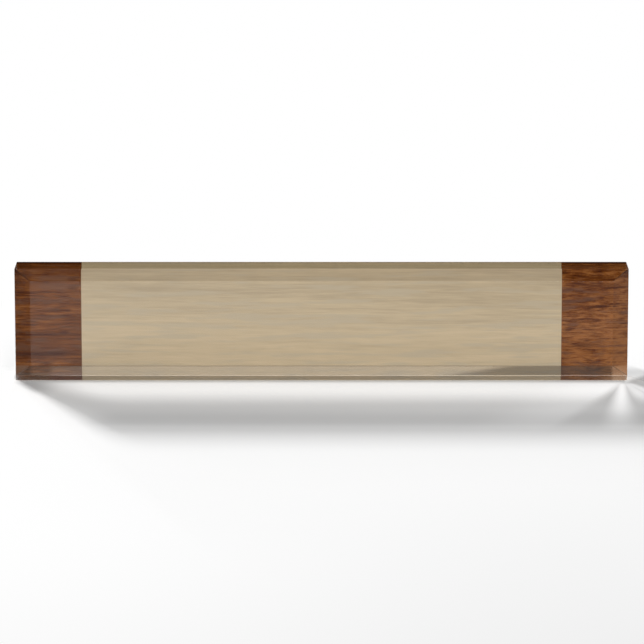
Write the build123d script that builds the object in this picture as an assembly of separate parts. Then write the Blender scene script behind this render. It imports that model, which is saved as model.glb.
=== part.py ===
from build123d import *
import os

# A clear block name plate, in millimetres. It stands on its foot with its front towards -Y.
# The origin is at the middle of the foot of the whole plate, +X runs along the plate and +Z is up.

# Clear block
PLATE_LENGTH = 268.0
PLATE_HEIGHT = 50.4
BLOCK_DEPTH = 18.5

# Polished bevel round the front face: how far it runs back, and its width seen from the front
BEVEL_DEPTH = 3.0
END_BEVEL_WIDTH = 6.8
TOP_BEVEL_WIDTH = 4.8
FOOT_BEVEL_WIDTH = 5.0

# Chamfer between the lower bevel and the foot
FOOT_CHAMFER_HEIGHT = 2.7
FOOT_CHAMFER_DEPTH = 2.7

# Print on the back face: a brown wood-grain field at each end and a pale field between them
END_FIELD_LENGTH = 28.6
PRINT_THICKNESS = 0.2

# White coat behind the print
BACKING_THICKNESS = 0.3

# Places that follow from the sizes above
PLATE_DEPTH = BLOCK_DEPTH + PRINT_THICKNESS + BACKING_THICKNESS
FRONT_Y = -PLATE_DEPTH / 2
BEVEL_Y = FRONT_Y + BEVEL_DEPTH
FOOT_Y = BEVEL_Y + FOOT_CHAMFER_DEPTH
PRINT_Y = FRONT_Y + BLOCK_DEPTH
BACKING_Y = PRINT_Y + PRINT_THICKNESS
HALF_LENGTH = PLATE_LENGTH / 2
PANEL_LENGTH = PLATE_LENGTH - 2 * END_FIELD_LENGTH


def upright_rectangle(y, x_low, x_high, z_low, z_high):
    """A rectangle that stands at depth y and faces along Y."""
    corners = [
        (x_low, y, z_low),
        (x_high, y, z_low),
        (x_high, y, z_high),
        (x_low, y, z_high),
    ]
    return make_face(Polyline(*corners, close=True))


def block_body():
    """The block behind its front bevel, drawn as a side profile and run along the plate."""
    profile = [
        (-HALF_LENGTH, FOOT_Y, 0),
        (-HALF_LENGTH, PRINT_Y, 0),
        (-HALF_LENGTH, PRINT_Y, PLATE_HEIGHT),
        (-HALF_LENGTH, BEVEL_Y, PLATE_HEIGHT),
        (-HALF_LENGTH, BEVEL_Y, FOOT_CHAMFER_HEIGHT),
    ]
    side = make_face(Polyline(*profile, close=True))
    return extrude(side, amount=PLATE_LENGTH, dir=(1, 0, 0))


def bevelled_front():
    """The raised front of the block: four sloping bevels that meet in mitres round a flat face."""
    rim = upright_rectangle(
        BEVEL_Y,
        -HALF_LENGTH,
        HALF_LENGTH,
        FOOT_CHAMFER_HEIGHT,
        PLATE_HEIGHT,
    )
    face = upright_rectangle(
        FRONT_Y,
        END_BEVEL_WIDTH - HALF_LENGTH,
        HALF_LENGTH - END_BEVEL_WIDTH,
        FOOT_CHAMFER_HEIGHT + FOOT_BEVEL_WIDTH,
        PLATE_HEIGHT - TOP_BEVEL_WIDTH,
    )
    return loft([rim, face], ruled=True)


def clear_block():
    """The whole clear block as one solid."""
    return (block_body() + bevelled_front()).clean()


def back_layer(x_low, x_high, y_front, thickness):
    """A thin layer over the full height of the back, between two places along the plate."""
    outline = upright_rectangle(y_front, x_low, x_high, 0, PLATE_HEIGHT)
    return extrude(outline, amount=thickness, dir=(0, 1, 0))


PANEL_LOW = -PANEL_LENGTH / 2
PANEL_HIGH = PANEL_LENGTH / 2

pieces = {
    "clear_block": clear_block(),
    "wood_print_left": back_layer(-HALF_LENGTH, PANEL_LOW, PRINT_Y, PRINT_THICKNESS),
    "name_panel_print": back_layer(PANEL_LOW, PANEL_HIGH, PRINT_Y, PRINT_THICKNESS),
    "wood_print_right": back_layer(PANEL_HIGH, HALF_LENGTH, PRINT_Y, PRINT_THICKNESS),
    "white_backing": back_layer(-HALF_LENGTH, HALF_LENGTH, BACKING_Y, BACKING_THICKNESS),
}

os.makedirs("parts", exist_ok=True)
for name, piece in pieces.items():
    piece.label = name
    export_step(piece, os.path.join("parts", name + ".step"))
    box = piece.bounding_box()
    print(name, len(piece.solids()), "solid", round(piece.volume, 1), "mm3", box.size)
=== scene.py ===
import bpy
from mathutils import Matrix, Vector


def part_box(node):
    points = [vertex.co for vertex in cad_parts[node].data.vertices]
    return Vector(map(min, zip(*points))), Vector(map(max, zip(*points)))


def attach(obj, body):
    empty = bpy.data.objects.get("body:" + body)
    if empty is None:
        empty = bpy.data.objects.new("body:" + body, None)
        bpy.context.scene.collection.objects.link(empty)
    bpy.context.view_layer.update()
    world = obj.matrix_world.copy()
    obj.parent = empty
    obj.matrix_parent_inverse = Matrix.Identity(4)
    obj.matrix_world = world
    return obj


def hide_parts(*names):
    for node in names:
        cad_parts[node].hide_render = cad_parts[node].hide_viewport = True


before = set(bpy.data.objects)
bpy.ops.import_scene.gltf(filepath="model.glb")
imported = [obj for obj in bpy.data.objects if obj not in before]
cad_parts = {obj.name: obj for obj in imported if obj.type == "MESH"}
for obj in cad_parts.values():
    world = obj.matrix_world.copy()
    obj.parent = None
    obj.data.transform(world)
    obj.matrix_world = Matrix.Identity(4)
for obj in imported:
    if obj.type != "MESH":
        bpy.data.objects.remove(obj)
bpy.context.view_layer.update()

import math

import bmesh
import bpy
from bpy.props import FloatProperty, FloatVectorProperty, PointerProperty
from mathutils import Vector

bl_info = {
    "name": "Clear block name plate",
    "version": (1, 0, 0),
    "blender": (4, 5, 0),
    "location": "View3D > Sidebar > Name plate",
    "description": "A bevelled clear block with a wood-grain print on its back and a bare name panel",
    "category": "Add Mesh",
}

# Lengths are in metres. The front of the plate faces -Y, +X runs along it to the right and +Z is up.
# A span is a pair of places between which a smooth step goes from 0 to 1. Where it has four numbers,
# the last two are the levels at its two ends. A span named for X, Y or Z lies along that axis.

BODY = "root"
TOUCH = 1e-5
MERGE_DISTANCE = 1e-7
SMOOTH_ANGLE = math.radians(40.0)
LARGE_FACE_WEIGHT = 100
ARRIS_SEGMENTS = 3
CORNER_SEGMENTS = 4

PICTURE_SIDE = 644
PLATE_PIXELS = 613
SENSOR_WIDTH = 36.0
VIEW_LIMIT = 200.0

BLACK = (0.0, 0.0, 0.0, 1.0)
WHITE = (1.0, 1.0, 1.0, 1.0)
UNMOVED = (0.0, 0.0, 0.0)


def block_places():
    """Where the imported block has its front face, its bevel rim and its foot chamfer."""
    low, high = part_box("clear_block")
    points = [vertex.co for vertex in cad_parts["clear_block"].data.vertices]
    face = [point for point in points if point.y < low.y + TOUCH]
    rim_y = min(point.y for point in points if point.z > high.z - TOUCH)
    rim = [point.z for point in points if abs(point.y - rim_y) < TOUCH]
    return {
        "low": low,
        "high": high,
        "rim_y": rim_y,
        "rim_z": min(rim),
        "face_x": max(point.x for point in face),
        "face_low_z": min(point.z for point in face),
        "face_high_z": max(point.z for point in face),
    }


PLACES = block_places()


def length_property(name, description, default):
    """A size in metres that a user may change."""
    return FloatProperty(
        name=name, description=description, default=default, min=0.0, precision=5, unit="LENGTH"
    )


def colour_property(name, description, default):
    """A colour in linear values that a user may change."""
    return FloatVectorProperty(
        name=name, description=description, default=default, size=3, min=0.0, max=1.0, subtype="COLOR"
    )


def level_property(name, description, default):
    """A level or power, from nothing upwards, that a user may change."""
    return FloatProperty(name=name, description=description, default=default, min=0.0)


class BlockSettings(bpy.types.PropertyGroup):
    """Sizes and finish of the clear block."""

    bevel_depth: length_property(
        "Bevel depth", "How far the front bevel runs back", PLACES["rim_y"] - PLACES["low"].y
    )
    face_half_length: length_property(
        "Half face length", "From the middle of the plate to the end of the front face", PLACES["face_x"]
    )
    face_foot: length_property(
        "Face foot", "Height of the lower edge of the front face", PLACES["face_low_z"]
    )
    face_top: length_property(
        "Face top", "Height of the upper edge of the front face", PLACES["face_high_z"]
    )
    foot_chamfer: length_property(
        "Foot chamfer", "Leg of the chamfer along the front of the foot", PLACES["rim_z"] - PLACES["low"].z
    )
    arris: length_property("Arris", "Rounding of the polished edges", 0.0003)
    bond: length_property("Bond", "How far the block reaches into the print behind it", 0.00005)
    tint: colour_property("Tint", "Colour of the polished faces", (0.985, 0.992, 0.988))
    # The bevel colour is painted shade: a grey tint that darkens what shows through the top and end bevels.
    bevel_painted_shade: colour_property("Bevel tint", "Colour of the machined bevels", (0.780, 0.780, 0.780))
    # The top face colour is painted shade: a yellowish tint that darkens and warms the print seen through
    # the top face.
    top_face_painted_shade: colour_property("Edge tint", "Colour of the top face", (0.900, 0.880, 0.720))
    # The lower bevel colours are painted shade, dark at the right and lighter at the left.
    lower_bevel_right_painted_shade: colour_property("Foot tint", "Colour of the lower bevel at the right", (0.158, 0.158, 0.158))
    lower_bevel_left_painted_shade: colour_property(
        "Foot clear", "Colour of the lower bevel at the left", (0.500, 0.500, 0.500)
    )
    # The chamfer colour is painted shade: a grey tint that darkens the foot chamfer, the arris over the
    # lower bevel and the mitres.
    chamfer_painted_shade: colour_property("Chamfer tint", "Colour of the sawn foot chamfer", (0.290, 0.290, 0.290))
    arris_tint: colour_property(
        "Arris tint", "Colour of the rubbed arris over the foot", (0.970, 0.935, 0.870)
    )
    # The left arris colour is painted shade that dims the bright arris line towards the left end.
    arris_left_painted_shade: colour_property(
        "Arris dull", "Colour of the rubbed arris at the left end", (0.280, 0.200, 0.150)
    )
    arris_clear: FloatProperty(
        name="Arris clearness",
        description="Share of the light that passes the rubbed arris",
        default=0.76, min=0.0, max=1.0, subtype="FACTOR",
    )


class PrintSettings(bpy.types.PropertyGroup):
    """Sizes and colours of the print, of the painted light along its foot and of the coat behind it."""

    setback: length_property("Setback", "How far the print stays in from the sides of the block", 0.00005)
    corner: length_property("Corner", "Rounding of the outer corners of the print and the coat", 0.0004)
    wood_dark: colour_property("Wood dark", "Dark streaks of the wood grain", (0.046, 0.010, 0.002))
    wood_mid: colour_property("Wood mid", "Main brown of the wood grain", (0.140, 0.041, 0.007))
    wood_warm: colour_property("Wood warm", "Warm light streaks of the wood grain", (0.258, 0.096, 0.026))
    wood_grey: colour_property("Wood grey", "Greyish patches of the wood grain", (0.110, 0.048, 0.027))
    # The three foot margin colours are painted light along the foot of the wood prints.
    foot_left_painted_light: colour_property(
        "Left foot margin", "Lowest part of the left wood print", (0.200, 0.100, 0.075)
    )
    foot_corner_painted_light: colour_property("Left corner margin", "Left end of the foot margin", (0.160, 0.084, 0.048))
    foot_right_painted_light: colour_property(
        "Right foot margin", "Lowest part of the right wood print", (0.350, 0.165, 0.070)
    )
    panel_dark: colour_property("Panel dark", "Dark streaks of the pale panel", (0.370, 0.298, 0.200))
    panel_grey: colour_property("Panel grey", "Greyish patches of the pale panel", (0.415, 0.350, 0.252))
    panel_mid: colour_property("Panel mid", "Main tan of the pale panel", (0.455, 0.364, 0.242))
    panel_light: colour_property("Panel light", "Light streaks of the pale panel", (0.510, 0.405, 0.268))
    coat: colour_property("Coat", "White coat behind the print", (0.800, 0.800, 0.780))


class StageSettings(bpy.types.PropertyGroup):
    """Camera, lamps and floor round the plate."""

    elevation: FloatProperty(
        name="Elevation",
        description="Height of the view above level",
        default=math.radians(11.8), subtype="ANGLE",
    )
    distance: length_property("Distance", "From the camera to the middle of the plate", 2.0)
    aside: length_property("Aside", "How far right of the plate's middle the view is centred", 0.00022)
    aloft: length_property("Aloft", "How far above the plate's middle the view is centred", 0.00018)
    span: FloatProperty(
        name="Span",
        description="Length of the plate in the picture, in picture widths",
        default=PLATE_PIXELS / PICTURE_SIDE,
    )
    world_level: level_property("World level", "Light from all round", 0.5)
    front_power: level_property("Front power", "Power of the front softbox", 24.0)
    back_power: level_property("Back power", "Power of the two lamps behind", 95.0)
    floor: colour_property("Floor", "Pale table top", (0.680, 0.680, 0.680))


class Nodes:
    """Adds nodes to the tree of a material or of the world."""

    def __init__(self, tree):
        self.tree = tree

    def node(self, kind, **settings):
        """A new node with its plain settings."""
        made = self.tree.nodes.new(kind)
        for key, value in settings.items():
            setattr(made, key, value)
        return made

    def feed(self, socket, value):
        """A link from an output, or a fixed value."""
        if isinstance(value, bpy.types.NodeSocket):
            self.tree.links.new(value, socket)
        else:
            socket.default_value = value

    def math(self, operation, first, second=0.0, clamp=False):
        """One sum."""
        made = self.node("ShaderNodeMath", operation=operation, use_clamp=clamp)
        self.feed(made.inputs[0], first)
        self.feed(made.inputs[1], second)
        return made.outputs[0]

    def total(self, *values):
        """All values added."""
        sum_so_far = values[0]
        for value in values[1:]:
            sum_so_far = self.math("ADD", sum_so_far, value)
        return sum_so_far

    def product(self, *factors):
        """All factors multiplied."""
        product_so_far = factors[0]
        for factor in factors[1:]:
            product_so_far = self.math("MULTIPLY", product_so_far, factor)
        return product_so_far

    def weighted(self, shares):
        """A sum of values, each times its share."""
        sum_so_far = 0.0
        for value, share in shares:
            sum_so_far = self.math("ADD", self.math("MULTIPLY", value, share), sum_so_far)
        return sum_so_far

    def lean(self, place, other, slope):
        """A place that moves with another place, for slanted borders."""
        return self.math("ADD", place, self.math("MULTIPLY", other, slope))

    def ramp(self, value, low, high, to_low=0.0, to_high=1.0):
        """A smooth step between two values."""
        made = self.node("ShaderNodeMapRange", interpolation_type="SMOOTHSTEP")
        self.feed(made.inputs["Value"], value)
        made.inputs["From Min"].default_value = low
        made.inputs["From Max"].default_value = high
        made.inputs["To Min"].default_value = to_low
        made.inputs["To Max"].default_value = to_high
        return made.outputs["Result"]


class Shader(Nodes):
    """Builds one material from nodes."""

    def __init__(self, name):
        self.material = bpy.data.materials.new(name)
        self.material.use_nodes = True
        super().__init__(self.material.node_tree)
        self.surface = self.tree.nodes["Principled BSDF"]

    def put(self, name, value):
        """Gives one socket of the plain surface a link or a fixed value."""
        self.feed(self.surface.inputs[name], value)

    def places(self):
        """Places on the piece in metres."""
        return self.node("ShaderNodeTexCoord").outputs["Object"]

    def split(self, vector):
        """The three parts of a place."""
        made = self.node("ShaderNodeSeparateXYZ")
        self.feed(made.inputs[0], vector)
        return made.outputs

    def mapped(self, source, scale, offset):
        """Places stretched by a scale and moved by an offset."""
        made = self.node("ShaderNodeMapping")
        self.feed(made.inputs["Vector"], source)
        made.inputs["Scale"].default_value = scale
        made.inputs["Location"].default_value = offset
        return made.outputs["Vector"]

    def reach(self, source, scale, offset):
        """How far stretched and moved places are from the origin."""
        made = self.node("ShaderNodeVectorMath", operation="LENGTH")
        self.feed(made.inputs[0], self.mapped(source, scale, offset))
        return made.outputs["Value"]

    def noise(self, source, scale, offset=UNMOVED, detail=3.0, roughness=0.55):
        """Soft noise from 0 to 1."""
        made = self.node("ShaderNodeTexNoise")
        self.feed(made.inputs["Vector"], self.mapped(source, scale, offset))
        made.inputs["Scale"].default_value = 1.0
        made.inputs["Detail"].default_value = detail
        made.inputs["Roughness"].default_value = roughness
        return made.outputs["Fac"]

    def mix(self, factor, first, second):
        """A blend of two colours."""
        made = self.node("ShaderNodeMix", data_type="RGBA")
        self.feed(made.inputs["Factor"], factor)
        self.feed(made.inputs[6], first)
        self.feed(made.inputs[7], second)
        return made.outputs[2]

    def blend(self, factor, first, second):
        """A blend of two numbers."""
        made = self.node("ShaderNodeMix", data_type="FLOAT")
        self.feed(made.inputs["Factor"], factor)
        self.feed(made.inputs["A"], first)
        self.feed(made.inputs["B"], second)
        return made.outputs["Result"]

    def tones(self, value, places, colours):
        """A band of colours with their places in it."""
        made = self.node("ShaderNodeValToRGB")
        stops = made.color_ramp.elements
        while len(stops) < len(places):
            stops.new(0.5)
        for stop, place, colour in zip(stops, places, colours):
            stop.position = place
            stop.color = colour
        self.feed(made.inputs["Fac"], value)
        return made.outputs["Color"]

    def emission(self, strength, colour=WHITE):
        """A surface that gives off light."""
        made = self.node("ShaderNodeEmission")
        self.feed(made.inputs["Strength"], strength)
        self.feed(made.inputs["Color"], colour)
        return made.outputs["Emission"]

    def cover(self, factor, first, second):
        """A first surface, covered by a second one."""
        made = self.node("ShaderNodeMixShader")
        self.feed(made.inputs["Fac"], factor)
        self.feed(made.inputs[1], first)
        self.feed(made.inputs[2], second)
        return made.outputs["Shader"]

    def lit(self, first, second):
        """A first surface with the light of a second one added."""
        made = self.node("ShaderNodeAddShader")
        self.feed(made.inputs[0], first)
        self.feed(made.inputs[1], second)
        return made.outputs["Shader"]

    def show(self, surface):
        """Makes a surface the one that the material shows."""
        self.feed(self.tree.nodes["Material Output"].inputs["Surface"], surface)


def rgba(colour):
    """A colour with full cover."""
    return (*colour, 1.0)


def seen_rays(nodes):
    """1 for the rays that show a thing, straight, mirrored or through the clear block."""
    path = nodes.node("ShaderNodeLightPath").outputs
    both = nodes.math("ADD", path["Is Camera Ray"], path["Is Glossy Ray"])
    return nodes.math("ADD", both, path["Is Transmission Ray"], clamp=True)


def mirrored_rays(nodes):
    """1 for reflections alone."""
    path = nodes.node("ShaderNodeLightPath").outputs
    return nodes.math("MULTIPLY", path["Is Glossy Ray"], path["Is Reflection Ray"])


# Acrylic finishes: the least and the most roughness of each
ACRYLIC_IOR = 1.49
SMEARS = ((140.0, 140.0, 140.0), UNMOVED, 4.0)
SMEAR_SPAN = (0.40, 0.75)
POLISHED_HAZE = (0.0, 0.010)
MACHINED_HAZE = (0.03, 0.09)
FOOT_HAZE = (0.05, 0.12)
SAWN_HAZE = (0.12, 0.22)
RUBBED_HAZE = (0.10, 0.20)


def acrylic(name, tint, haze):
    """Clear cast acrylic with a finish between the least and the most haze."""
    shader = Shader(name)
    smears = shader.noise(shader.places(), *SMEARS)
    shader.put("Roughness", shader.ramp(smears, *SMEAR_SPAN, *haze))
    shader.put("Base Color", rgba(tint))
    shader.put("Transmission Weight", 1.0)
    shader.put("IOR", ACRYLIC_IOR)
    return shader


FOOT_SLOPE = -6.2
FOOT_SLANT = (0.0427, 0.0287)
FOOT_LEFT_X = (-0.1285, -0.1250)
FOOT_RIGHT_X = (0.1268, 0.1278)


def foot_acrylic(settings):
    """The machined lower bevel, tinted with painted shade: dark at the right, clearer to the left of a
    slanted border and at the right corner.
    """
    shader = acrylic("foot_acrylic", settings.lower_bevel_right_painted_shade, FOOT_HAZE)
    x, _, z = shader.split(shader.places())
    slant = shader.lean(x, z, FOOT_SLOPE)
    left = shader.product(shader.ramp(slant, *FOOT_SLANT), shader.ramp(x, *FOOT_LEFT_X))
    clear = shader.math("MAXIMUM", left, shader.ramp(x, *FOOT_RIGHT_X))
    shader.put("Base Color", shader.mix(clear, rgba(settings.lower_bevel_right_painted_shade), rgba(settings.lower_bevel_left_painted_shade)))
    return shader


RUBBED_LEFT_X = (-0.128, -0.105)


def rubbed_shaded_acrylic(settings):
    """The rubbed arris over the foot, which scatters some light, with painted shade that makes it duller
    towards the left end.
    """
    shader = acrylic("rubbed_shaded_acrylic", settings.arris_tint, RUBBED_HAZE)
    shader.put("Transmission Weight", settings.arris_clear)
    bright = shader.ramp(shader.split(shader.places())[0], *RUBBED_LEFT_X)
    shader.put("Base Color", shader.mix(bright, rgba(settings.arris_left_painted_shade), rgba(settings.arris_tint)))
    return shader


# Grain layers: how often the pattern repeats in a metre along each axis, its shift and its detail
SWAY = ((9.0, 9.0, 40.0), (1.7, 0.0, 4.1), 2.0)
SWAY_MIDDLE = 0.5
INK_ROUGHNESS = (0.2, 0.8, 0.5, 0.65)


def swayed(shader, height):
    """Places on the piece, moved up and down a little so that straight grain gets a slow wave."""
    places = shader.places()
    sway = shader.math("SUBTRACT", shader.noise(places, *SWAY), SWAY_MIDDLE)
    shift = shader.node("ShaderNodeCombineXYZ")
    shader.feed(shift.inputs["Z"], shader.math("MULTIPLY", sway, height))
    moved = shader.node("ShaderNodeVectorMath", operation="ADD")
    shader.feed(moved.inputs[0], places)
    shader.feed(moved.inputs[1], shift.outputs[0])
    return moved.outputs[0]


# Bands, streaks, flecks, fibres and dots of the wood, and their shares in its two figures
WOOD_LAYERS = (
    ((18.0, 18.0, 330.0), (3.0, 0.0, 0.7), 2.0),
    ((24.0, 24.0, 800.0), (0.3, 0.0, 9.2), 2.0),
    ((190.0, 190.0, 1000.0), (4.4, 0.0, 3.9), 3.0, 0.65),
    ((130.0, 130.0, 2600.0), (2.9, 0.0, 1.3), 2.0),
    ((1700.0, 1700.0, 2400.0), (7.7, 0.0, 0.4), 1.0),
)
STRAIGHT_SHARES = (0.24, 0.24, 0.18, 0.22, 0.12)
FIGURED_SHARES = (0.08, 0.10, 0.48, 0.22, 0.12)
FIGURE_X = (0.0, 0.11)


def wood_grain(shader, along):
    """Tone of the wood grain along the plate: straight at the left end, short flecks at the right end."""
    layers = [shader.noise(along, *layer) for layer in WOOD_LAYERS]
    straight = shader.weighted(zip(layers, STRAIGHT_SHARES))
    figured = shader.weighted(zip(layers, FIGURED_SHARES))
    return shader.blend(shader.ramp(shader.split(along)[0], *FIGURE_X), straight, figured)


# Long dark streaks of the wood, the last two being painted shade along the top edge: middle along the
# plate, height, half length, half height and strength
WOOD_STREAKS = (
    (-0.122, 0.0096, 0.030, 0.0017, 0.9),
    (-0.113, 0.0195, 0.004, 0.0011, 0.9),
    (-0.1165, 0.0300, 0.007, 0.0012, 0.5),
    (-0.109, 0.0400, 0.004, 0.0018, 0.5),
    (0.1225, 0.0320, 0.0075, 0.0009, 0.9),
    (0.1160, 0.0135, 0.0075, 0.0016, 0.6),
    (0.1290, 0.0102, 0.0055, 0.0010, 0.6),
    (0.1200, 0.0415, 0.0160, 0.0016, 0.5),
    (0.1095, 0.0261, 0.0045, 0.0007, 0.5),
    # Painted shade along the top edge, seen through the top face
    (-0.124, 0.0490, 0.0500, 0.0078, 0.95),
    (0.124, 0.0490, 0.0500, 0.0055, 0.85),
)
STREAK_EDGE = (0.15, 1.0)


def dark_streaks(shader, along):
    """How dark the long streaks of the grain, and the painted shade along the top edge, make each place."""
    darkest = 0.0
    for x, z, half_length, half_height, strength in WOOD_STREAKS:
        scale = (1.0 / half_length, 0.0, 1.0 / half_height)
        offset = (-x / half_length, 0.0, -z / half_height)
        streak = shader.ramp(shader.reach(along, scale, offset), *STREAK_EDGE, strength, 0.0)
        darkest = shader.math("MAXIMUM", streak, darkest)
    return darkest


# Painted light low at the right end and painted shade half-way up the left end of the wood
LOW_RIGHT_X = (0.07, 0.12)
LOW_RIGHT_Z = (0.038, 0.014, 0.006, 0.056)
FAR_RIGHT_X = (0.122, 0.128)
FAR_RIGHT_Z = (0.018, 0.010, 0.034, 0.060)
DARK_LEFT_X = (-0.05, -0.10)
DARK_LEFT_FOOT_Z = (0.010, 0.016)
DARK_LEFT_TOP_Z = (0.030, 0.022)
DARK_LEFT_LEVEL = -0.034


def painted_wood_light_and_shade(shader, x, z):
    """Painted light low at the right end and painted shade half-way up the left end of the wood."""
    low_right = shader.product(shader.ramp(x, *LOW_RIGHT_X), shader.ramp(z, *LOW_RIGHT_Z))
    far_right = shader.product(shader.ramp(x, *FAR_RIGHT_X), shader.ramp(z, *FAR_RIGHT_Z))
    dark_left = shader.product(
        shader.ramp(x, *DARK_LEFT_X),
        shader.ramp(z, *DARK_LEFT_FOOT_Z),
        shader.ramp(z, *DARK_LEFT_TOP_Z),
        DARK_LEFT_LEVEL,
    )
    return shader.total(low_right, far_right, dark_left)


MARGIN_CORNER_X = (-0.118, -0.121)
MARGIN_RIGHT_X = (0.122, 0.126, 0.15, 0.80)
MARGIN_LEFT_X = (-0.05, -0.10)
MARGIN_MIDDLE_X = (-0.05, 0.05)
MARGIN_LEFT_SHARE = 0.30
MARGIN_CORNER_SHARE = 0.40
MARGIN_LEFT_DROP = 0.0009
MARGIN_TOP_Z = (0.0055, 0.0047)


def painted_foot_light_margin(shader, settings, x, z):
    """Cover and colour of the painted light in a paler margin along the foot of the wood prints."""
    corner = shader.ramp(x, *MARGIN_CORNER_X)
    share = shader.weighted(
        (
            (shader.ramp(x, *MARGIN_RIGHT_X), 1.0),
            (shader.ramp(x, *MARGIN_LEFT_X), MARGIN_LEFT_SHARE),
            (corner, MARGIN_CORNER_SHARE),
        )
    )
    height = shader.math("ADD", z, shader.ramp(x, *MARGIN_MIDDLE_X, MARGIN_LEFT_DROP, 0.0))
    cover = shader.math("MULTIPLY", shader.ramp(height, *MARGIN_TOP_Z), share)
    left = shader.mix(corner, rgba(settings.foot_left_painted_light), rgba(settings.foot_corner_painted_light))
    colour = shader.mix(shader.ramp(x, *MARGIN_MIDDLE_X), left, rgba(settings.foot_right_painted_light))
    return cover, colour


WOOD_SWAY = 0.006
WOOD_TONES = (0.405, 0.50, 0.595)
WOOD_PATCHES = ((80.0, 80.0, 420.0), (5.5, 0.0, 2.2), 3.0)
WOOD_PATCH_COVER = (0.50, 0.64, 0.0, 0.7)
WOOD_PORES = ((130.0, 130.0, 1300.0), (8.1, 0.0, 6.3), 2.0)
WOOD_PORE_COVER = (0.57, 0.68, 0.0, 0.6)


def wood_ink(settings):
    """Brown wood grain printed on the back of the block, with painted light low at the right end and along
    the foot, and painted shade half-way up the left end and along the top edge.
    """
    shader = Shader("brown_wood_ink")
    along = swayed(shader, WOOD_SWAY)
    x, _, z = shader.split(along)
    tone = shader.math("ADD", wood_grain(shader, along), painted_wood_light_and_shade(shader, x, z))
    dark, mid, warm = rgba(settings.wood_dark), rgba(settings.wood_mid), rgba(settings.wood_warm)
    wood = shader.tones(tone, WOOD_TONES, (dark, mid, warm))
    patches = shader.ramp(shader.noise(along, *WOOD_PATCHES), *WOOD_PATCH_COVER)
    aged = shader.mix(patches, wood, rgba(settings.wood_grey))
    pores = shader.ramp(shader.noise(along, *WOOD_PORES), *WOOD_PORE_COVER)
    dotted = shader.mix(pores, aged, dark)
    streaked = shader.mix(dark_streaks(shader, along), dotted, dark)
    cover, margin = painted_foot_light_margin(shader, settings, x, z)
    shader.put("Base Color", shader.mix(cover, streaked, margin))
    shader.put("Roughness", shader.ramp(tone, *INK_ROUGHNESS))
    shader.put("Specular IOR Level", 0.0)
    return shader.material


# Bands, streaks, flecks and fibres of the panel, and their shares
PANEL_LAYERS = (
    ((7.0, 7.0, 170.0), (1.2, 0.0, 5.0), 2.0),
    ((24.0, 24.0, 900.0), (6.3, 0.0, 2.7), 2.0),
    ((70.0, 70.0, 700.0), (0.6, 0.0, 7.1), 3.0),
    ((90.0, 90.0, 2800.0), (3.3, 0.0, 8.4), 2.0),
)
PANEL_SHARES = (0.32, 0.26, 0.16, 0.26)
PANEL_SWAY = 0.0045
# Painted light towards the foot and painted shade at the upper right of the panel
PANEL_LIGHT_Z = (0.012, 0.040, 0.05, -0.055)
PANEL_SHADE_X = (-0.02, 0.08)
PANEL_SHADE_Z = (0.028, 0.042, 0.0, -0.05)
PANEL_TONES = (0.36, 0.50, 0.64)
PANEL_PORES = ((90.0, 90.0, 1500.0), (8.1, 0.0, 6.3), 2.0)
PANEL_PORE_COVER = (0.58, 0.72, 0.0, 0.25)
PANEL_PATCHES = ((34.0, 34.0, 420.0), (2.6, 0.0, 1.1), 3.0)
PANEL_PATCH_COVER = (0.48, 0.62, 0.0, 0.75)


def panel_ink(settings):
    """Pale tan panel with fine straight grain, with painted light towards its foot and painted shade at its
    upper right.
    """
    shader = Shader("pale_panel_ink")
    along = swayed(shader, PANEL_SWAY)
    layers = [shader.noise(along, *layer) for layer in PANEL_LAYERS]
    grain = shader.weighted(zip(layers, PANEL_SHARES))
    x, _, z = shader.split(along)
    light = shader.ramp(z, *PANEL_LIGHT_Z)
    shade = shader.product(shader.ramp(x, *PANEL_SHADE_X), shader.ramp(z, *PANEL_SHADE_Z))
    tone = shader.total(grain, light, shade)
    dark, mid, pale = rgba(settings.panel_dark), rgba(settings.panel_mid), rgba(settings.panel_light)
    tan = shader.tones(tone, PANEL_TONES, (dark, mid, pale))
    pores = shader.ramp(shader.noise(along, *PANEL_PORES), *PANEL_PORE_COVER)
    dotted = shader.mix(pores, tan, dark)
    patches = shader.ramp(shader.noise(along, *PANEL_PATCHES), *PANEL_PATCH_COVER)
    shader.put("Base Color", shader.mix(patches, dotted, rgba(settings.panel_grey)))
    shader.put("Roughness", shader.ramp(tone, *INK_ROUGHNESS))
    shader.put("Specular IOR Level", 0.0)
    return shader.material


COAT_SPRAY = ((900.0, 900.0, 900.0), UNMOVED, 2.0)
COAT_CLOUDS = ((28.0, 28.0, 28.0), UNMOVED, 3.0)
COAT_CLOUD_SPAN = (0.35, 0.7)
COAT_CLOUD_TINT = (0.965, 0.960, 0.945)
COAT_ROUGHNESS = (0.3, 0.7, 0.38, 0.55)
COAT_BUMP_STRENGTH = 0.15
COAT_BUMP_HEIGHT = 0.0001


def coat_paint(settings):
    """Satin white coat with a fine sprayed texture and faint warm clouds."""
    shader = Shader("satin_white_coat")
    places = shader.places()
    spray = shader.noise(places, *COAT_SPRAY)
    clouds = shader.ramp(shader.noise(places, *COAT_CLOUDS), *COAT_CLOUD_SPAN)
    warm = tuple(part * tint for part, tint in zip(settings.coat, COAT_CLOUD_TINT))
    shader.put("Base Color", shader.mix(clouds, rgba(settings.coat), rgba(warm)))
    shader.put("Roughness", shader.ramp(spray, *COAT_ROUGHNESS))
    bump = shader.node("ShaderNodeBump")
    bump.inputs["Strength"].default_value = COAT_BUMP_STRENGTH
    bump.inputs["Distance"].default_value = COAT_BUMP_HEIGHT
    shader.feed(bump.inputs["Height"], spray)
    shader.put("Normal", bump.outputs["Normal"])
    return shader.material


def on(first, second):
    """True where two places are the same."""
    return abs(first - second) < TOUCH


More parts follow.
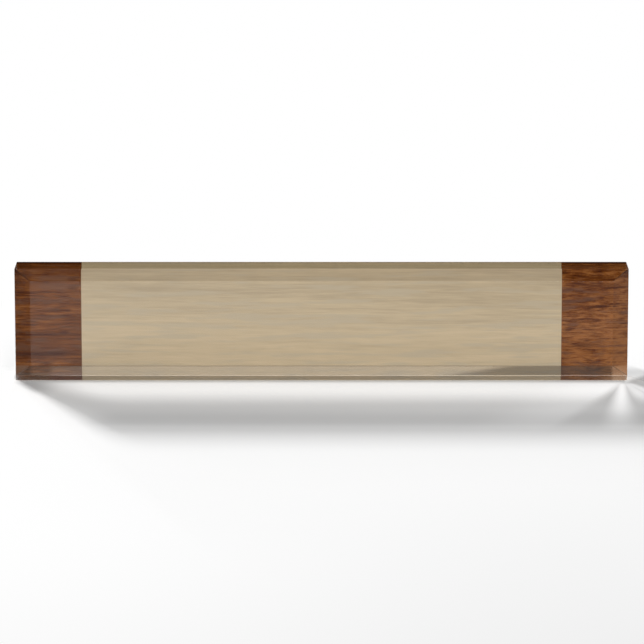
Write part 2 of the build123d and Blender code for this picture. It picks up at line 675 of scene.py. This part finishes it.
def begin_cube(name, low, high):
    """A cube between two corners, in edit mode."""
    bpy.ops.object.select_all(action="DESELECT")
    bpy.ops.mesh.primitive_cube_add(size=1.0, location=(low + high) / 2, scale=high - low)
    piece = bpy.context.active_object
    piece.name = name
    piece.data.name = name
    bpy.ops.object.transform_apply(location=True, rotation=True, scale=True)
    bpy.ops.object.mode_set(mode="EDIT")
    return piece


def pick(piece, kind, wanted):
    """Selects only the faces or the edges that pass a test, in edit mode."""
    bpy.ops.mesh.select_mode(type=kind)
    bpy.ops.mesh.select_all(action="DESELECT")
    shape = bmesh.from_edit_mesh(piece.data)
    parts = shape.faces if kind == "FACE" else shape.edges
    picked = [part for part in parts if wanted(part)]
    if not picked:
        raise RuntimeError(f"{piece.name}: nothing passes the test")
    for part in picked:
        part.select_set(True)
    shape.select_flush_mode()
    bmesh.update_edit_mesh(piece.data)


def pick_faces(piece, wanted):
    """Selects only the faces whose normal passes a test."""
    pick(piece, "FACE", lambda face: wanted(face.normal))


def pick_edges(piece, wanted):
    """Selects only the edges whose two ends pass a test."""
    pick(piece, "EDGE", lambda edge: wanted(edge.verts[0].co, edge.verts[1].co))


def end_piece(piece, node, material):
    """Smooths a finished piece, gives it its material and puts it in the place of its node."""
    bpy.ops.mesh.select_all(action="SELECT")
    bpy.ops.mesh.remove_doubles(threshold=MERGE_DISTANCE)
    bpy.ops.mesh.normals_make_consistent(inside=False)
    bpy.ops.object.mode_set(mode="OBJECT")
    bpy.ops.object.shade_smooth_by_angle(angle=SMOOTH_ANGLE)
    normals = piece.modifiers.new("weighted_normals", "WEIGHTED_NORMAL")
    normals.weight = LARGE_FACE_WEIGHT
    normals.keep_sharp = True
    bpy.ops.object.modifier_apply(modifier=normals.name)
    piece.data.materials.clear()
    piece.data.materials.append(material)
    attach(piece, BODY)
    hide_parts(node)


FRONT_TILT = -0.99

# Places of the finishes among the block's materials
POLISHED, MACHINED_SHADED, FOOT, SAWN_SHADED, EDGE, RUBBED = range(6)

# Ranges for the parts of a face's normal: across the plate to either side, forwards, and up
ANY = (-2.0, 2.0)
STRAIGHT = (-2.0, TOUCH)
ASLANT = (0.05, 2.0)
FACE_FINISHES = (
    (MACHINED_SHADED, ANY, (-0.96, -0.80), (-0.1, 2.0)),           # top bevel and end bevels
    (FOOT, ANY, (-0.90, -0.80), (-2.0, -0.45)),             # lower bevel
    # Faces with the sawn finish are darkened by its painted shade tint.
    (SAWN_SHADED, ANY, (-0.75, -0.65), (-2.0, -0.65)),             # foot chamfer
    (SAWN_SHADED, STRAIGHT, (-0.99, -0.88), (-2.0, -0.1)),         # arris over the lower bevel
    (EDGE, ANY, ANY, (0.999, 2.0)),                         # top face
    (RUBBED, STRAIGHT, (-0.85, -0.72), (-2.0, -0.52)),      # arris over the foot chamfer
    (SAWN_SHADED, ASLANT, (-2.0, -0.80), (-2.0, -0.1)),            # lower mitres
    (SAWN_SHADED, ASLANT, (-2.0, -0.80), (0.1, 2.0)),              # upper mitres
)


def shape_block(settings):
    """The block in edit mode: chamfered at its foot, raised to a bevelled front, with rounded edges."""
    low, high, rim_y = PLACES["low"], PLACES["high"], PLACES["rim_y"]
    back_y = high.y + settings.bond
    piece = begin_cube("acrylic_block", Vector((low.x, rim_y, low.z)), Vector((high.x, back_y, high.z)))
    pick_edges(piece, lambda *ends: all(on(end.y, rim_y) and on(end.z, low.z) for end in ends))
    bpy.ops.mesh.bevel(offset=settings.foot_chamfer, segments=1, affect="EDGES")
    pick_faces(piece, lambda normal: normal.y < FRONT_TILT)
    rim_foot = low.z + settings.foot_chamfer
    rise = (settings.face_foot + settings.face_top - rim_foot - high.z) / 2
    bpy.ops.mesh.extrude_region_move(
        TRANSFORM_OT_translate={"value": (0.0, -settings.bevel_depth, rise)}
    )
    bpy.ops.transform.resize(
        value=(
            settings.face_half_length / high.x,
            1.0,
            (settings.face_top - settings.face_foot) / (high.z - rim_foot),
        ),
        center_override=(0.0, low.y, (settings.face_foot + settings.face_top) / 2),
    )
    pick_edges(piece, lambda *ends: not all(on(end.y, back_y) for end in ends))
    bpy.ops.mesh.bevel(offset=settings.arris, segments=ARRIS_SEGMENTS, affect="EDGES")
    return piece


def block_finishes(settings):
    """The block's materials, each in its place."""
    shaders = {
        POLISHED: acrylic("polished_acrylic", settings.tint, POLISHED_HAZE),
        MACHINED_SHADED: acrylic("machined_shaded_acrylic", settings.bevel_painted_shade, MACHINED_HAZE),
        FOOT: foot_acrylic(settings),
        SAWN_SHADED: acrylic("sawn_shaded_acrylic", settings.chamfer_painted_shade, SAWN_HAZE),
        EDGE: acrylic("top_face_shaded_acrylic", settings.top_face_painted_shade, POLISHED_HAZE),
        RUBBED: rubbed_shaded_acrylic(settings),
    }
    return [shaders[place].material for place in sorted(shaders)]


def finish_face(piece, finish, ranges):
    """Gives a finish to the faces whose normal lies in its ranges."""

    def wanted(normal):
        parts = (abs(normal.x), normal.y, normal.z)
        return all(low < part < high for part, (low, high) in zip(parts, ranges))

    pick_faces(piece, wanted)
    piece.active_material_index = finish
    bpy.ops.object.material_slot_assign()


class NAMEPLATE_OT_clear_block(bpy.types.Operator):
    """Model the clear block with its bevelled front and its foot chamfer"""

    bl_idname = "name_plate.clear_block"
    bl_label = "Clear block"

    def execute(self, context):
        settings = context.scene.name_plate_block
        piece = shape_block(settings)
        finishes = block_finishes(settings)
        end_piece(piece, "clear_block", finishes[POLISHED])
        for material in finishes[MACHINED_SHADED:]:
            piece.data.materials.append(material)
        bpy.ops.object.mode_set(mode="EDIT")
        for finish, *ranges in FACE_FINISHES:
            finish_face(piece, finish, ranges)
        bpy.ops.object.mode_set(mode="OBJECT")
        # The opaque print behind the block casts the plate's shadow.
        piece.visible_shadow = False
        return {"FINISHED"}


def print_film(name, node, settings, material):
    """One thin film of the print, set in from the sides of the block, with rounded outer corners."""
    low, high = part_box(node)
    outer = PLACES["high"].x
    outer_ends = []
    if on(low.x, -outer):
        low.x += settings.setback
        outer_ends.append(low.x)
    if on(high.x, outer):
        high.x -= settings.setback
        outer_ends.append(high.x)
    low.z += settings.setback
    high.z -= settings.setback
    piece = begin_cube(name, low, high)

    def at_corner(first, second):
        through = on(first.x, second.x) and on(first.z, second.z)
        return through and any(on(first.x, end) for end in outer_ends)

    if outer_ends:
        pick_edges(piece, at_corner)
        bpy.ops.mesh.bevel(offset=settings.corner, segments=CORNER_SEGMENTS, affect="EDGES")
    end_piece(piece, node, material)


class NAMEPLATE_OT_wood_prints(bpy.types.Operator):
    """Model the brown wood-grain print at each end"""

    bl_idname = "name_plate.wood_prints"
    bl_label = "Wood prints"

    def execute(self, context):
        settings = context.scene.name_plate_print
        ink = wood_ink(settings)
        for side in ("left", "right"):
            print_film(f"wood_film_{side}", f"wood_print_{side}", settings, ink)
        return {"FINISHED"}


class NAMEPLATE_OT_name_panel(bpy.types.Operator):
    """Model the bare pale panel between the wood prints"""

    bl_idname = "name_plate.name_panel"
    bl_label = "Name panel"

    def execute(self, context):
        settings = context.scene.name_plate_print
        ink = panel_ink(settings)
        print_film("name_panel_film", "name_panel_print", settings, ink)
        return {"FINISHED"}


class NAMEPLATE_OT_white_backing(bpy.types.Operator):
    """Model the white coat behind the print"""

    bl_idname = "name_plate.white_backing"
    bl_label = "White backing"

    def execute(self, context):
        settings = context.scene.name_plate_print
        paint = coat_paint(settings)
        print_film("white_coat_film", "white_backing", settings, paint)
        return {"FINISHED"}


TABLE_ROUGHNESS = 0.8
WHITE_STRETCH = (0.6, 1.0, 0.0)
WHITE_SHIFT = (0.0, 0.08, 0.0)
WHITE_REACH = (0.10, 0.26)
WHITE_LEFT_SLOPE = 0.351
WHITE_LEFT = (-0.1365, -0.1505)
WHITE_BESIDE_X = (-0.1342, -0.1358)
WHITE_BESIDE_Y = (0.030, 0.012)
# Painted shade that makes the white table darker towards the front right and far in front
PAINTED_SHADE_X = (-0.14, 0.12)
PAINTED_SHADE_Y = (-0.02, -0.15, 0.0, 0.085)
PAINTED_FAR_SHADE_Y = (-0.25, -0.60, 0.0, 0.075)


def white_table(shader, x, y, seen):
    """The table's plain surface, turning to plain white away from the plate for the rays that show it, with
    painted shade that makes the white darker towards the front right and far in front.
    """
    far = shader.ramp(shader.reach(shader.places(), WHITE_STRETCH, WHITE_SHIFT), *WHITE_REACH)
    left = shader.ramp(shader.lean(x, y, WHITE_LEFT_SLOPE), *WHITE_LEFT)
    beside = shader.product(shader.ramp(x, *WHITE_BESIDE_X), shader.ramp(y, *WHITE_BESIDE_Y))
    white = shader.math("MAXIMUM", far, shader.math("MAXIMUM", left, beside))
    dull = shader.product(shader.ramp(x, *PAINTED_SHADE_X), shader.ramp(y, *PAINTED_SHADE_Y))
    level = shader.math("SUBTRACT", shader.math("SUBTRACT", 1.0, dull), shader.ramp(y, *PAINTED_FAR_SHADE_Y))
    plain = shader.surface.outputs["BSDF"]
    return shader.cover(shader.math("MULTIPLY", white, seen), plain, shader.emission(level))


# Where the painted shade and painted light beside the right end go
WEDGE_SLOPE = 0.515
WEDGE_EDGE = (0.1545, 0.1500)
WEDGE_START_X = (0.1325, 0.1338)
WEDGE_END_X = (0.175, 0.150)
WEDGE_BACK_Y = (0.034, 0.010)


def painted_side_wedge(shader, x, y):
    """Mask of the narrow wedge of the table beside the right end, where painted shade and painted light
    stand in for the block's shadow and the light it passes on.
    """
    return shader.product(
        shader.ramp(shader.lean(x, y, WEDGE_SLOPE), *WEDGE_EDGE),
        shader.ramp(x, *WEDGE_START_X),
        shader.ramp(x, *WEDGE_END_X),
        shader.ramp(y, *WEDGE_BACK_Y),
    )


# Painted shade on the table
DARK_WEDGE_SLOPE = 1.7
DARK_WEDGE_EDGE = (0.2330, 0.2395)
DARK_WEDGE_LEVEL = 0.56
BORDER_NEAR_Y = (-0.056, -0.078)
BORDER_FAR_Y = (-0.0955, -0.0835)
BORDER_LEFT_X = (-0.105, -0.085)
BORDER_RIGHT_X = (0.17, 0.14)
BORDER_LEVEL = 0.14
CORNER_SLOPE = 0.40
CORNER_EDGE = (-0.1385, -0.1345)
CORNER_END_X = (-0.112, -0.127)
CORNER_FAR_Y = (-0.036, -0.018)
CORNER_NEAR_Y = (-0.0035, -0.0105)
CORNER_LEVEL = 0.30


def painted_table_shade(shader, x, y):
    """Painted shade: how much darker the table is in the side wedge, at the shadow's far border and at its
    left corner.
    """
    wedge = shader.product(
        painted_side_wedge(shader, x, y),
        shader.ramp(shader.lean(y, x, DARK_WEDGE_SLOPE), *DARK_WEDGE_EDGE),
        DARK_WEDGE_LEVEL,
    )
    border = shader.product(
        shader.ramp(y, *BORDER_NEAR_Y),
        shader.ramp(y, *BORDER_FAR_Y),
        shader.ramp(x, *BORDER_LEFT_X),
        shader.ramp(x, *BORDER_RIGHT_X),
        BORDER_LEVEL,
    )
    corner = shader.product(
        shader.ramp(shader.lean(x, y, CORNER_SLOPE), *CORNER_EDGE),
        shader.ramp(x, *CORNER_END_X),
        shader.ramp(y, *CORNER_FAR_Y),
        shader.ramp(y, *CORNER_NEAR_Y),
        CORNER_LEVEL,
    )
    return shader.math("MAXIMUM", shader.math("MAXIMUM", wedge, border), corner)


# Painted light rays from the right corner: start along the plate, slope, spread and strength of each,
# and the places along Y where it is faint and full
TABLE_RAYS = (
    (0.1318, -0.075, 0.095, 0.50, -0.115, -0.015),
    (0.1330, 0.20, 0.16, 0.36, -0.056, -0.026),
    (0.1335, 0.42, 0.16, 0.34, -0.056, -0.026),
)
RAY_HALF_WIDTH = 0.003


def painted_table_rays(shader, x, y, ahead):
    """The brightest of the painted light rays from the right corner at each place."""
    brightest = 0.0
    for start, slope, spread, strength, faint_y, full_y in TABLE_RAYS:
        middle = shader.lean(start, ahead, slope)
        half_width = shader.lean(RAY_HALF_WIDTH, ahead, spread)
        aside = shader.math("ABSOLUTE", shader.math("SUBTRACT", x, middle))
        across = shader.ramp(shader.math("DIVIDE", aside, half_width), 1.0, 0.0, 0.0, strength)
        ray = shader.math("MULTIPLY", across, shader.ramp(y, faint_y, full_y))
        brightest = shader.math("MAXIMUM", ray, brightest)
    return brightest


# Painted light on the table
FAN_SLOPE = 0.41
FAN_EDGE = (0.138, 0.129)
CONTACT_Y = (-0.0055, -0.0120)
STRIP_FAR_Y = (-0.060, -0.018)
STRIP_NEAR_Y = (-0.0015, -0.0110)
STRIP_LEFT_SLOPE = 0.6
STRIP_LEFT = (-0.140, -0.108)
STRIP_LEVEL = 0.42
BEAM_EDGE = (0.090, 0.127)
BEAM_FAR_Y = (-0.110, -0.070)
BEAM_LEVEL = 0.08
SPILL_X = (-0.10, 0.10)
SPILL_FAR_Y = (-0.095, -0.064)
SPILL_NEAR_Y = (-0.045, -0.062)
SPILL_LEVEL = 0.035
SIDE_SLOPE = -1.4
SIDE_EDGE = (-0.1975, -0.1875)
SIDE_LEVEL_Y = (0.020, -0.004, 0.175, 0.38)


def painted_light_fan(shader, x, y):
    """Painted light on the table, standing in for the light that the block passes on: along its foot, from
    its right corner and beside it.
    """
    ahead = shader.math("MAXIMUM", shader.math("SUBTRACT", PLACES["rim_y"], y), 0.0)
    edge = shader.lean(x, ahead, FAN_SLOPE)
    inside = shader.ramp(edge, *FAN_EDGE)
    contact = shader.ramp(y, *CONTACT_Y)
    strip = shader.product(
        shader.ramp(y, *STRIP_FAR_Y),
        shader.ramp(y, *STRIP_NEAR_Y),
        shader.ramp(shader.lean(x, y, STRIP_LEFT_SLOPE), *STRIP_LEFT),
        inside,
        STRIP_LEVEL,
    )
    beam = shader.product(
        inside, shader.ramp(edge, *BEAM_EDGE), shader.ramp(y, *BEAM_FAR_Y), contact, BEAM_LEVEL
    )
    spill = shader.product(
        inside,
        shader.ramp(x, *SPILL_X),
        shader.ramp(y, *SPILL_FAR_Y),
        shader.ramp(y, *SPILL_NEAR_Y),
        SPILL_LEVEL,
    )
    rays = shader.math("MULTIPLY", painted_table_rays(shader, x, y, ahead), contact)
    front = shader.math("MAXIMUM", shader.total(strip, beam, spill), rays)
    side = shader.product(
        painted_side_wedge(shader, x, y),
        shader.ramp(shader.lean(y, x, SIDE_SLOPE), *SIDE_EDGE),
        shader.ramp(y, *SIDE_LEVEL_Y),
    )
    return shader.math("ADD", front, side)


# Painted glow and glint below the plate, seen only as reflections
GLOW_END_X = (-0.1290, -0.1270, 0.15, 0.42)
GLOW_LEFT_X = (-0.1205, -0.1170, 0.0, 0.36)
GLOW_FULL_X = (-0.108, -0.103)
GLOW_FAR_Y = (-0.0145, -0.0125)
GLOW_NEAR_Y = (-0.0066, -0.0073)
GLOW_SLOPE = 2.85
GLOW_SLANT = (0.053, 0.036, 0.24, 1.0)
GLOW_LEVEL = 2.25
GLINT_LEFT_X = (0.1266, 0.1284)
GLINT_RIGHT_X = (0.180, 0.150)
GLINT_FAR_Y = (-0.045, -0.025)
GLINT_NEAR_Y = (0.002, -0.004)
GLINT_FRONT_Y = (-0.0072, -0.0095)
GLINT_INNER_X = (0.142, 0.137)
GLINT_LEVEL = 1.8


def painted_foot_reflection(shader, x, y):
    """Painted glow below the plate that only shows as a painted reflection in its lower bevel and its right
    corner.
    """
    left = shader.math("ADD", shader.ramp(x, *GLOW_END_X), shader.ramp(x, *GLOW_LEFT_X))
    glow = shader.product(
        shader.ramp(y, *GLOW_FAR_Y),
        shader.ramp(y, *GLOW_NEAR_Y),
        shader.ramp(shader.lean(x, y, GLOW_SLOPE), *GLOW_SLANT),
        shader.math("MAXIMUM", left, shader.ramp(x, *GLOW_FULL_X)),
        GLOW_LEVEL,
    )
    glint = shader.product(
        shader.ramp(x, *GLINT_LEFT_X),
        shader.ramp(x, *GLINT_RIGHT_X),
        shader.ramp(y, *GLINT_FAR_Y),
        shader.ramp(y, *GLINT_NEAR_Y),
        shader.math("MAXIMUM", shader.ramp(y, *GLINT_FRONT_Y), shader.ramp(x, *GLINT_INNER_X)),
        GLINT_LEVEL,
    )
    return shader.math("ADD", glow, glint)


# Colours of the painted glow and glint
GLOW_COLOUR = (1.0, 0.89, 0.76, 1.0)
GLINT_COLOUR = (1.0, 0.78, 0.55, 1.0)
GLINT_COLOUR_X = (0.120, 0.126)


def floor_paint(settings):
    """Pale table top with painted shade and painted light that stand in for the block's shadow and the
    light it passes on.
    """
    shader = Shader("pale_table")
    x, y, _ = shader.split(shader.places())
    seen, mirrored = seen_rays(shader), mirrored_rays(shader)
    # The base colour carries painted shade; the pool is painted light and the glow a painted reflection.
    shader.put("Base Color", shader.mix(painted_table_shade(shader, x, y), rgba(settings.floor), BLACK))
    shader.put("Roughness", TABLE_ROUGHNESS)
    shader.put("Specular IOR Level", 0.0)
    table = white_table(shader, x, y, seen)
    straight = shader.math("SUBTRACT", seen, mirrored)
    pool = shader.emission(shader.math("MULTIPLY", painted_light_fan(shader, x, y), straight))
    colour = shader.mix(shader.ramp(x, *GLINT_COLOUR_X), GLOW_COLOUR, GLINT_COLOUR)
    glow = shader.emission(shader.math("MULTIPLY", painted_foot_reflection(shader, x, y), mirrored), colour)
    shader.show(shader.lit(table, shader.lit(pool, glow)))
    return shader.material


PAPER = (400.0, 400.0, 400.0)
PAPER_SPAN = (0.0, 1.0, 0.5, 1.0)
GRADE_X = (-0.16, 0.06)


def card_paint(name, left, right):
    """Card that goes from one grey level to another along the plate, with a faint paper texture."""
    shader = Shader(name)
    places = shader.places()
    paper = shader.ramp(shader.noise(places, PAPER), *PAPER_SPAN)
    level = shader.ramp(shader.split(places)[0], *GRADE_X, left, right)
    shader.put("Base Color", shader.math("MULTIPLY", paper, level))
    shader.put("Specular IOR Level", 0.0)
    return shader.material


GAUZE_COLOUR = (0.01, 0.01, 0.01, 1.0)
GAUZE_X = (-0.06, 0.11)
GAUZE_Y = (-0.08, -0.20, 0.15, 0.60)
GAUZE_END_X = (0.142, 0.160, 0.0, 0.45)


def gauze_paint(name):
    """Dark gauze, seen only in reflections, that lets the table show at the left and covers it at the
    right: painted shade in the table's reflection.
    """
    shader = Shader(name)
    x, y, _ = shader.split(shader.places())
    right = shader.math("MULTIPLY", shader.ramp(x, *GAUZE_X), shader.ramp(y, *GAUZE_Y))
    cover = shader.math("MAXIMUM", right, shader.ramp(x, *GAUZE_END_X))
    shader.put("Base Color", GAUZE_COLOUR)
    shader.put("Specular IOR Level", 0.0)
    clear = shader.node("ShaderNodeBsdfTransparent").outputs["BSDF"]
    shader.show(shader.cover(cover, clear, shader.surface.outputs["BSDF"]))
    return shader.material


def aim(thing, target):
    """Turns a camera or a lamp to face a point."""
    thing.rotation_euler = (target - thing.location).to_track_quat("-Z", "Y").to_euler()


def add_camera(settings, target):
    """The camera at the photograph's viewing angle."""
    elevation, distance = settings.elevation, settings.distance
    place = target + distance * Vector((0.0, -math.cos(elevation), math.sin(elevation)))
    bpy.ops.object.camera_add(location=place)
    camera = bpy.context.active_object
    camera.name = "camera"
    aim(camera, target)
    rim_distance = distance + math.cos(elevation) * (PLACES["rim_y"] - target.y)
    plate_length = PLACES["high"].x - PLACES["low"].x
    camera.data.sensor_width = SENSOR_WIDTH
    camera.data.lens = settings.span * SENSOR_WIDTH * rim_distance / plate_length
    camera.data.clip_end = VIEW_LIMIT
    bpy.context.scene.camera = camera


# The rays that don't see a lamp, a card that only shows as a reflection, and one that only casts a shadow
LAMP_UNSEEN = ("camera", "glossy", "transmission")
REFLECTED_ONLY = ("camera", "diffuse", "shadow", "transmission")
SHADOW_ONLY = ("camera", "diffuse", "glossy", "transmission")


def hide_from(thing, rays):
    """Hides a lamp or a card from some kinds of rays."""
    for kind in rays:
        setattr(thing, f"visible_{kind}", False)


def add_lamp(name, place, target, power, size):
    """A square soft lamp that the camera and the polished faces don't show."""
    bpy.ops.object.light_add(type="AREA", location=place)
    lamp = bpy.context.active_object
    lamp.name = name
    lamp.data.energy = power
    lamp.data.size = size
    aim(lamp, target)
    hide_from(lamp, LAMP_UNSEEN)
    return lamp


def add_plane(name, place, size, facing, material):
    """A flat stage piece of one size at one place, turned to face a direction."""
    bpy.ops.object.select_all(action="DESELECT")
    turn = Vector(facing).to_track_quat("Z", "Y").to_euler()
    bpy.ops.mesh.primitive_plane_add(size=1.0, location=place, rotation=turn)
    plane = bpy.context.active_object
    plane.name = name
    plane.scale = (*size, 1.0)
    bpy.ops.object.transform_apply(location=True, rotation=True, scale=True)
    plane.data.materials.append(material)
    return plane


def set_world(settings):
    """Plain light from all round, white where it is seen."""
    world = bpy.data.worlds.new("studio")
    bpy.context.scene.world = world
    world.use_nodes = True
    nodes = Nodes(world.node_tree)
    background = nodes.tree.nodes["Background"]
    background.inputs["Color"].default_value = WHITE
    level = nodes.ramp(seen_rays(nodes), 0.0, 1.0, settings.world_level, 1.0)
    nodes.feed(background.inputs["Strength"], level)


FLOOR = ((0.0, 0.0, -0.0002), (60.0, 60.0), (0.0, 0.0, 1.0))

# Grey level of each card at its left and right end
CARD_LEVELS = {
    "black_card": (0.003, 0.003),
    "grey_card": (0.15, 0.15),
    "pale_card": (0.60, 0.60),
    "graded_card": (0.50, 0.10),
}

# Cards that only show as reflections: name, paint, middle, size and facing
CARDS = (
    ("flag_behind", "black_card", (0.0, 0.8, 0.33), (1.4, 0.58), (0.0, -1.0, 0.0)),
    ("flag_above", "graded_card", (0.0, -0.36, 0.53), (1.2, 0.3), (0.0, 0.6, -0.8)),
    ("flag_right", "grey_card", (0.165, 0.129, 0.06), (0.302, 0.12), (-1.0, 0.0, 0.0)),
    ("flag_over", "grey_card", (0.0, 0.25, 0.62), (1.6, 1.1), (0.0, 0.0, -1.0)),
    ("flag_front", "grey_card", (0.0, -0.9, 0.62), (1.6, 1.0), (0.0, 1.0, 0.0)),
    ("flag_left", "pale_card", (-0.139, -0.030, 0.07), (0.045, 0.14), (1.0, 0.0, 0.0)),
    ("flag_table", "dark_gauze", (0.0, -0.142, 0.0004), (0.9, 0.256), (0.0, 0.0, 1.0)),
)

# A narrow card beside the left end, for the plate's shadow
LEFT_SHADE = ((-0.1363, 0.0092, 0.0252), (0.0044, 0.0504), (0.0, -1.0, 0.0))

FRONT_LAMP_PLACE = Vector((0.35, -1.7, 0.65))
FRONT_LAMP_SIZE = 0.9
BACK_LAMP_PLACE = Vector((-0.890, 1.758, 0.76))

# Lamps behind the plate: name, share of their power and size
BACK_LAMPS = (("back_lamp", 0.72, 0.2), ("back_lamp_soft", 0.28, 0.6))


class NAMEPLATE_OT_stage(bpy.types.Operator):
    """Set up the floor, the cards, the lamps, the world and the camera"""

    bl_idname = "name_plate.stage"
    bl_label = "Stage"

    def execute(self, context):
        settings = context.scene.name_plate_stage
        target = (PLACES["low"] + PLACES["high"]) / 2
        add_camera(settings, target + Vector((settings.aside, 0.0, settings.aloft)))
        floor = add_plane("floor", *FLOOR, floor_paint(settings))
        paints = {name: card_paint(name, *levels) for name, levels in CARD_LEVELS.items()}
        paints["dark_gauze"] = gauze_paint("dark_gauze")
        for name, paint, *layout in CARDS:
            hide_from(add_plane(name, *layout, paints[paint]), REFLECTED_ONLY)
        add_lamp("front_softbox", FRONT_LAMP_PLACE, target, settings.front_power, FRONT_LAMP_SIZE)
        lit = bpy.data.collections.new("lit_by_back_lamps")
        lit.objects.link(floor)
        for name, share, size in BACK_LAMPS:
            lamp = add_lamp(name, BACK_LAMP_PLACE, target, share * settings.back_power, size)
            lamp.light_linking.receiver_collection = lit
        hide_from(add_plane("shade_left", *LEFT_SHADE, paints["black_card"]), SHADOW_ONLY)
        set_world(settings)
        context.scene.view_settings.view_transform = "Standard"
        return {"FINISHED"}


SETTINGS = {
    "name_plate_block": BlockSettings,
    "name_plate_print": PrintSettings,
    "name_plate_stage": StageSettings,
}

OPERATORS = (
    NAMEPLATE_OT_clear_block,
    NAMEPLATE_OT_wood_prints,
    NAMEPLATE_OT_name_panel,
    NAMEPLATE_OT_white_backing,
    NAMEPLATE_OT_stage,
)


class NAMEPLATE_PT_sidebar(bpy.types.Panel):
    """Lists the settings and the pieces of the name plate"""

    bl_idname = "NAMEPLATE_PT_sidebar"
    bl_label = "Clear block name plate"
    bl_space_type = "VIEW_3D"
    bl_region_type = "UI"
    bl_category = "Name plate"

    def draw(self, context):
        for name, kind in SETTINGS.items():
            box = self.layout.box()
            for key in kind.__annotations__:
                box.prop(getattr(context.scene, name), key)
        for operator in OPERATORS:
            self.layout.operator(operator.bl_idname)


def register():
    """Adds the settings, the operators and the panel."""
    for kind in (*SETTINGS.values(), *OPERATORS, NAMEPLATE_PT_sidebar):
        bpy.utils.register_class(kind)
    for name, kind in SETTINGS.items():
        setattr(bpy.types.Scene, name, PointerProperty(type=kind))


def unregister():
    """Takes them away again."""
    for name in SETTINGS:
        delattr(bpy.types.Scene, name)
    for kind in (NAMEPLATE_PT_sidebar, *reversed(OPERATORS), *reversed(SETTINGS.values())):
        bpy.utils.unregister_class(kind)


def main():
    """Builds the plate and its stage."""
    register()
    bpy.ops.name_plate.clear_block()
    bpy.ops.name_plate.wood_prints()
    bpy.ops.name_plate.name_panel()
    bpy.ops.name_plate.white_backing()
    bpy.ops.name_plate.stage()


if __name__ == "__main__":
    main()
